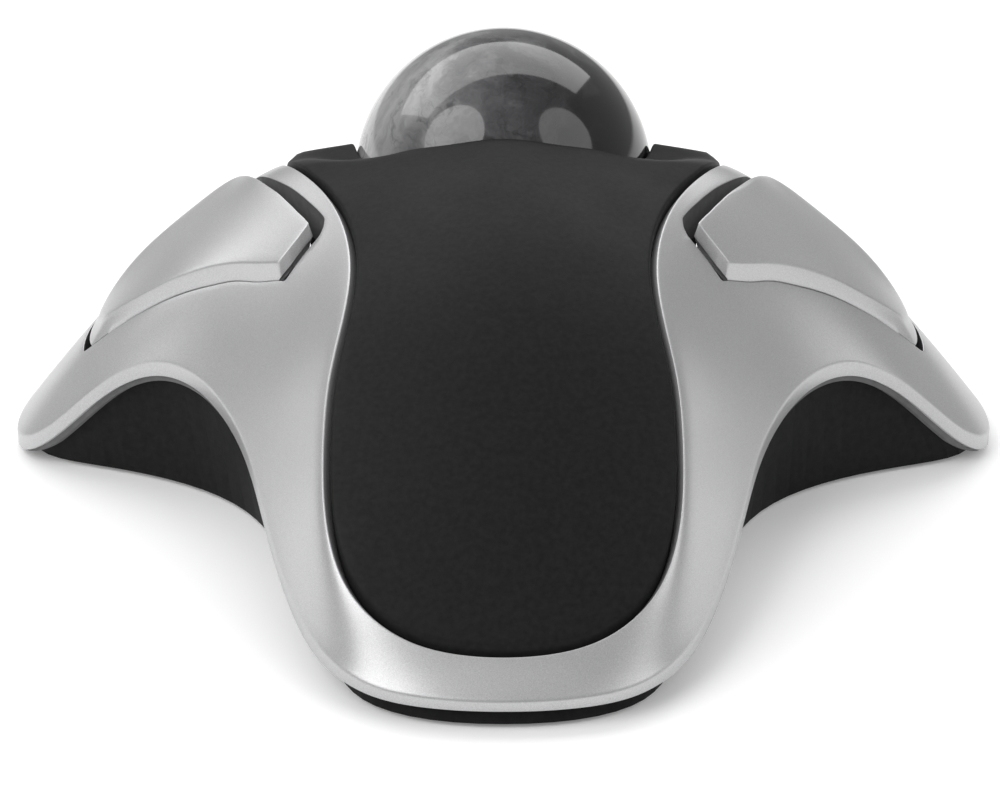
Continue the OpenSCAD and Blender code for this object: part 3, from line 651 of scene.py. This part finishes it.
def build_cap():
    """Right button: a stretched top with rounded creases, side walls and a skirt in the hole."""
    crease, low, radius = cap_loops()
    ring = np.column_stack([crease[:, :2], radius, crease[:, 2]])

    def inset(k):
        w = np.roll(ring[:, :2], -1, 0) - np.roll(ring[:, :2], 1, 0)
        n = unit(np.stack([-w[:, 1], w[:, 0]], 1))
        if np.sum(n * (ring[:, :2] - ring[:, :2].mean(0))) > 0:
            n = -n
        p = ring.copy()
        p[:, :2] += k * radius[:, None] * n
        far = near_line(ring[:, :2], p[:, :2]) > .9 * k * radius
        return resample(p[far], .3)

    rings = [ring] + [inset(k) for k in (.12, .3, .6, 1)]
    lo, hi = ring[:, :2].min(0), ring[:, :2].max(0)
    gx, gy = np.meshgrid(np.arange(lo[0], hi[0], .75), np.arange(lo[1], hi[1], .75), indexing="ij")
    g = np.stack([gx.ravel(), gy.ravel()], 1)
    g = g[inside(rings[-1][:, :2], g)]
    g = g[near_line(rings[-1][:, :2], g) > .35]
    pts = np.concatenate([g] + [q[:, :2] for q in rings])
    drop = np.concatenate([np.zeros(len(g))] + [fillet(k * q[:, 2], q[:, 2])
                                                for k, q in zip((0, .12, .3, .6, 1), rings)])
    loops, k = [], len(g)
    for q in rings:
        loops.append(np.arange(k, k + len(q)))
        k += len(q)
    tri = triangulate(pts, loops, [(ring[:, :2], True)])
    fixed = np.zeros(len(pts), bool)
    fixed[loops[0]] = True
    z = np.zeros(len(pts))
    z[loops[0]] = crease[:, 2]
    z = film(pts, tri, fixed, z, CAP_LOAD)
    b = Build()
    top = b.add(np.column_stack([pts, z - drop]))
    bottom = b.add(np.column_stack([pts, z - radius.max() - 2.4]))
    b.f += [tuple(top[f]) for f in tri] + [tuple(bottom[f[::-1]]) for f in tri]
    start = np.column_stack([crease[:, :2], z[loops[0]] - drop[loops[0]]])
    rows = [top[loops[0]]]
    for k in (.34, .67, 1):
        rows.append(b.add(start * (1 - k) + low * k))
    # the skirt inside the hole leans in, so that it clears the flange when pressed
    tuck = np.zeros_like(low)
    tuck[:, :2] = unit(low[:, :2].mean(0) - low[:, :2])
    for lean, down in ((.4, 1), (.75, 2.2), (1.7, 2.2)):
        rows.append(b.add(low + lean * tuck - np.array([0, 0, down])))
    rows.append(bottom[loops[0]])
    b.grid(rows, closed=True)
    return b.done()


# ---------------------------------------------------------------- ball
def build_ball():
    """Two spheres of six square patches: the outside, and the wall round the hollow."""
    b = Build()
    for radius, n in ((BALL_R, 64), (HOLLOW_R, 20)):
        a = np.tan(np.linspace(-1, 1, n + 1) * np.pi / 4)
        x, y = np.meshgrid(a, a, indexing="ij")
        one = np.ones_like(x)
        for face in ((x, y, one), (y, x, -one), (one, x, y),
                     (-one, y, x), (y, one, x), (x, -one, y)):
            p = unit(np.stack(face, -1)) * radius + BALL
            b.grid(b.add(p).reshape(x.shape))
    return b.done()


# ---------------------------------------------------------------- materials
def mat(name):
    """A new material, its node tree and its main shader."""
    m = bpy.data.materials.new(name)
    m.use_nodes = True
    t = m.node_tree
    for n in list(t.nodes):
        if n.type not in ("BSDF_PRINCIPLED", "OUTPUT_MATERIAL"):
            t.nodes.remove(n)
    return m, t, t.nodes["Principled BSDF"]


def node(t, kind, at=(0, 0), **kw):
    """A new node. A name that starts with _ is a property, any other is an input."""
    n = t.nodes.new(kind)
    n.location = at
    for k, v in kw.items():
        if k.startswith("_"):
            setattr(n, k[1:], v)
        else:
            n.inputs[k].default_value = v
    return n


def coords(t):
    """Places on the object, so that the grain moves with it."""
    return node(t, "ShaderNodeTexCoord", (-1200, 0)).outputs["Object"]


def noise(t, vec, scale, detail=4, rough=.5, dist=0):
    """Noise of a given scale per metre."""
    n = node(t, "ShaderNodeTexNoise", (-900, 0), Scale=scale, Detail=detail, Roughness=rough,
             Distortion=dist)
    t.links.new(vec, n.inputs["Vector"])
    return n.outputs["Fac"]


def ramp(t, fac, stops):
    """Colours at stated values of fac."""
    n = node(t, "ShaderNodeValToRGB", (-600, 0))
    e = n.color_ramp.elements
    while len(e) > 1:
        e.remove(e[-1])
    e[0].position = stops[0][0]
    e[0].color = tuple(stops[0][1]) + (1,)
    for p, c in stops[1:]:
        q = e.new(p)
        q.color = tuple(c) + (1,)
    t.links.new(fac, n.inputs["Fac"])
    return n.outputs["Color"]


def spread(t, fac, lo, hi):
    """Spreads the middle of a noise over lo to hi."""
    n = node(t, "ShaderNodeMapRange", (-600, -300))
    n.inputs["From Min"].default_value = .3
    n.inputs["From Max"].default_value = .7
    n.inputs["To Min"].default_value = lo
    n.inputs["To Max"].default_value = hi
    t.links.new(fac, n.inputs["Value"])
    return n.outputs["Result"]


def bump(t, bsdf, height, strength, distance):
    """Surface grain from a height."""
    n = node(t, "ShaderNodeBump", (-300, -400), Strength=strength, Distance=distance)
    t.links.new(height, n.inputs["Height"])
    t.links.new(n.outputs["Normal"], bsdf.inputs["Normal"])


def silver():
    """Silver paint with fine flakes and a thin clear coat."""
    m, t, p = mat("silver_paint")
    v = coords(t)
    fine = noise(t, v, 9000, 2, .6)
    broad = noise(t, v, 60, 3, .5)
    flakes = [(.3, (.44, .44, .445)), (.5, (.52, .52, .525)), (.72, (.61, .61, .615))]
    t.links.new(ramp(t, fine, flakes), p.inputs["Base Color"])
    t.links.new(spread(t, broad, .34, .4), p.inputs["Roughness"])
    p.inputs["Metallic"].default_value = .7
    p.inputs["Coat Weight"].default_value = .12
    p.inputs["Coat Roughness"].default_value = .2
    bump(t, p, noise(t, v, 5200, 3, .55), .08, .00006)
    return m


def soft_black(name, lo=.009, hi=.014, rough=(.46, .56), grain=4200, strength=.25):
    """Matt black with fine grain."""
    m, t, p = mat(name)
    v = coords(t)
    t.links.new(ramp(t, noise(t, v, grain / 3, 3), [(.3, (lo,) * 3), (.7, (hi, hi, hi * 1.02))]),
                p.inputs["Base Color"])
    t.links.new(spread(t, noise(t, v, 90, 4), rough[0], rough[1]), p.inputs["Roughness"])
    p.inputs["Specular IOR Level"].default_value = .12
    bump(t, p, noise(t, v, grain, 2, .6), strength, .00004)
    return m


def marble():
    """Polished marbled resin, with painted light on its left and painted shade on its right."""
    m, t, p = mat("ball_marble")
    v = coords(t)
    warp = node(t, "ShaderNodeTexNoise", (-1000, 300), Scale=55, Detail=5, Roughness=.6)
    t.links.new(v, warp.inputs["Vector"])
    mix = node(t, "ShaderNodeMixRGB", (-800, 300), Fac=.022)
    mix.blend_type = "ADD"
    t.links.new(v, mix.inputs[1])
    t.links.new(warp.outputs["Color"], mix.inputs[2])
    big = noise(t, mix.outputs[0], 48, 6, .62, .6)
    veins = noise(t, mix.outputs[0], 120, 5, .7, 1.4)
    # painted light and shade: along object X the marbling is shifted lighter on the ball's left
    # side and darker on its right side
    sep = node(t, "ShaderNodeSeparateXYZ", (-1000, -200))
    t.links.new(v, sep.inputs[0])
    side = node(t, "ShaderNodeMapRange", (-800, -200))
    for k, q in (("From Min", -.019), ("From Max", .016), ("To Min", .2), ("To Max", -.34)):
        side.inputs[k].default_value = q
    t.links.new(sep.outputs["X"], side.inputs["Value"])
    shift = node(t, "ShaderNodeMath", (-600, -200), _operation="ADD")
    t.links.new(big, shift.inputs[0])
    t.links.new(side.outputs["Result"], shift.inputs[1])
    col = ramp(t, shift.outputs[0], [(.2, (.008, .008, .009)), (.36, (.04, .04, .043)),
                                     (.48, (.11, .11, .114)), (.6, (.23, .23, .232)),
                                     (.76, (.36, .36, .36))])
    dark = ramp(t, veins, [(.34, (.35, .35, .36)), (.46, (1, 1, 1)), (.6, (1, 1, 1)),
                           (.72, (1.15, 1.15, 1.15))])
    mul = node(t, "ShaderNodeMixRGB", (-300, 200), Fac=.75)
    mul.blend_type = "MULTIPLY"
    t.links.new(col, mul.inputs[1])
    t.links.new(dark, mul.inputs[2])
    t.links.new(mul.outputs[0], p.inputs["Base Color"])
    t.links.new(spread(t, noise(t, v, 220, 4), .06, .1), p.inputs["Roughness"])
    p.inputs["Coat Weight"].default_value = .3
    p.inputs["Coat Roughness"].default_value = .04
    p.inputs["IOR"].default_value = 1.52
    return m


def plain(name, lo, hi, rough=(.4, .55), scale=900, metal=0.0, strength=.12):
    """A material of one colour with a little grain."""
    m, t, p = mat(name)
    v = coords(t)
    t.links.new(ramp(t, noise(t, v, scale, 3), [(.3, lo), (.7, hi)]), p.inputs["Base Color"])
    t.links.new(spread(t, noise(t, v, scale / 4, 4), rough[0], rough[1]), p.inputs["Roughness"])
    p.inputs["Metallic"].default_value = metal
    bump(t, p, noise(t, v, scale * 3, 2), strength, .00004)
    return m


SILVER = silver()
PALM = soft_black("palm_soft_black")
BASE = soft_black("base_black", .008, .013, (.5, .62), 3600, .35)
DARK = soft_black("inner_dark", .02, .03, (.45, .6), 2800, .2)
MARBLE = marble()
# painted shade: a mid-grey that stands in for the shade on the pocket walls and the recessed strip
# below the rim
PAINTED_SHADE_GREY = soft_black("shell_painted_shade", .13, .16, (.55, .7), 2600, .2)
BY_SLOT = {
    "black_plastic": BASE, "palm_black": PALM, "dark_plastic": DARK, "silver_paint": SILVER,
    "ball_resin": MARBLE,
    "core_resin": plain("core_resin", (.06, .06, .06), (.09, .09, .09)),
    "switch_body": plain("switch_body", (.02, .02, .02), (.035, .035, .035)),
    "switch_plunger": plain("switch_plunger", (.5, .05, .03), (.62, .07, .04), (.25, .35)),
    "circuit_board": plain("circuit_board", (.012, .09, .035), (.02, .13, .05), (.25, .4), 400),
    "chip_black": plain("chip_black", (.015, .015, .015), (.025, .025, .025), (.5, .65)),
    "steel": plain("steel", (.45, .45, .46), (.6, .6, .61), (.22, .34), 1400, 1.0),
    "capacitor_sleeve": plain("capacitor_sleeve", (.01, .02, .07), (.02, .03, .1), (.25, .35)),
    "header_cream": plain("header_cream", (.6, .56, .44), (.7, .66, .54)),
    "clear_lens": plain("clear_lens", (.75, .8, .85), (.85, .88, .92), (.05, .1)),
    "led_red": plain("led_red", (.5, .02, .02), (.65, .03, .03), (.08, .15)),
    "ribbon_white": plain("ribbon_white", (.6, .6, .58), (.7, .7, .68), (.4, .5)),
    "rubber": plain("rubber", (.012, .012, .012), (.02, .02, .02), (.7, .85)),
    "foot_rubber": plain("foot_rubber", (.02, .02, .02), (.03, .03, .03), (.75, .9)),
    "bearing_ceramic": plain("bearing_ceramic", (.75, .74, .7), (.85, .84, .8), (.1, .18)),
    "label": plain("label", (.5, .5, .51), (.58, .58, .59), (.35, .45)),
}
SLOT_OF = {s["node"]: s["material_slot"] for s in frame["record"]["subparts"]}
for name, ob in frame["nodes"].items():
    ob.data.materials.clear()
    ob.data.materials.append(BY_SLOT[SLOT_OF[name]])

# ---------------------------------------------------------------- pieces
v, f, painted_shade_faces = build_shell()
# the pocket walls and the recessed strip take the painted-shade grey
make("shell", v, f, SILVER, "chassis", ["top_shell"], (PAINTED_SHADE_GREY, painted_shade_faces))
v, f = build_panel()
make("palm_panel", v, f, PALM, "chassis", ["palm_rest"])
v, f = build_cap()
make("cap_right", v, f, SILVER, "right_button", ["right_button"])
make("cap_left", v * MIRROR, f, SILVER, "left_button", ["left_button"])
v, f = build_ball()
make("marble_ball", v, f, MARBLE, "ball", ["ball"])

# ---------------------------------------------------------------- stage
def floor():
    """A plain pale table."""
    me = bpy.data.meshes.new("floor")
    me.from_pydata([(-6, -6, 0), (6, -6, 0), (6, 6, 0), (-6, 6, 0)], [], [(0, 1, 2, 3)])
    ob = bpy.data.objects.new("floor", me)
    bpy.context.scene.collection.objects.link(ob)
    m, _, p = mat("floor_white")
    p.inputs["Base Color"].default_value = (.93, .93, .93, 1)
    p.inputs["Roughness"].default_value = .7
    p.inputs["Specular IOR Level"].default_value = .1
    p.inputs["Emission Color"].default_value = (1, 1, 1, 1)
    p.inputs["Emission Strength"].default_value = .16
    me.materials.append(m)


floor()
w = bpy.data.worlds.new("studio")
bpy.context.scene.world = w
w.use_nodes = True
w.node_tree.nodes["Background"].inputs["Color"].default_value = (1, 1, 1, 1)
w.node_tree.nodes["Background"].inputs["Strength"].default_value = .36


def softbox(name, at, target, size, power, shape="RECTANGLE"):
    """An area light at a place, facing a target."""
    d = bpy.data.lights.new(name, "AREA")
    d.shape = shape
    d.size, d.size_y = size
    d.energy = power
    ob = bpy.data.objects.new(name, d)
    bpy.context.scene.collection.objects.link(ob)
    ob.location = at
    ob.rotation_euler = (Vector(target) - Vector(at)).to_track_quat("-Z", "Y").to_euler()
    return ob


softbox("key_top", (-.2, .62, .85), (-.1, .1, .02), (2.3, .78), 10.5)
softbox("side_left", (-.58, -.38, .7), (0, 0, .03), (.8, .86), 4.4, "ELLIPSE")
softbox("side_right", (.7, -.28, .62), (0, 0, .03), (.68, .8), 1.8, "ELLIPSE")

cam = bpy.data.cameras.new("camera")
co = bpy.data.objects.new("camera", cam)
bpy.context.scene.collection.objects.link(co)
co.location = (0, -.3409, .1842)
co.rotation_euler = (math.radians(90 - 26.69), 0, 0)
cam.sensor_width = 36
cam.lens = 106.43
cam.shift_x = -.0035
cam.clip_start = .01
bpy.context.scene.camera = co
bpy.context.scene.view_settings.view_transform = "Standard"
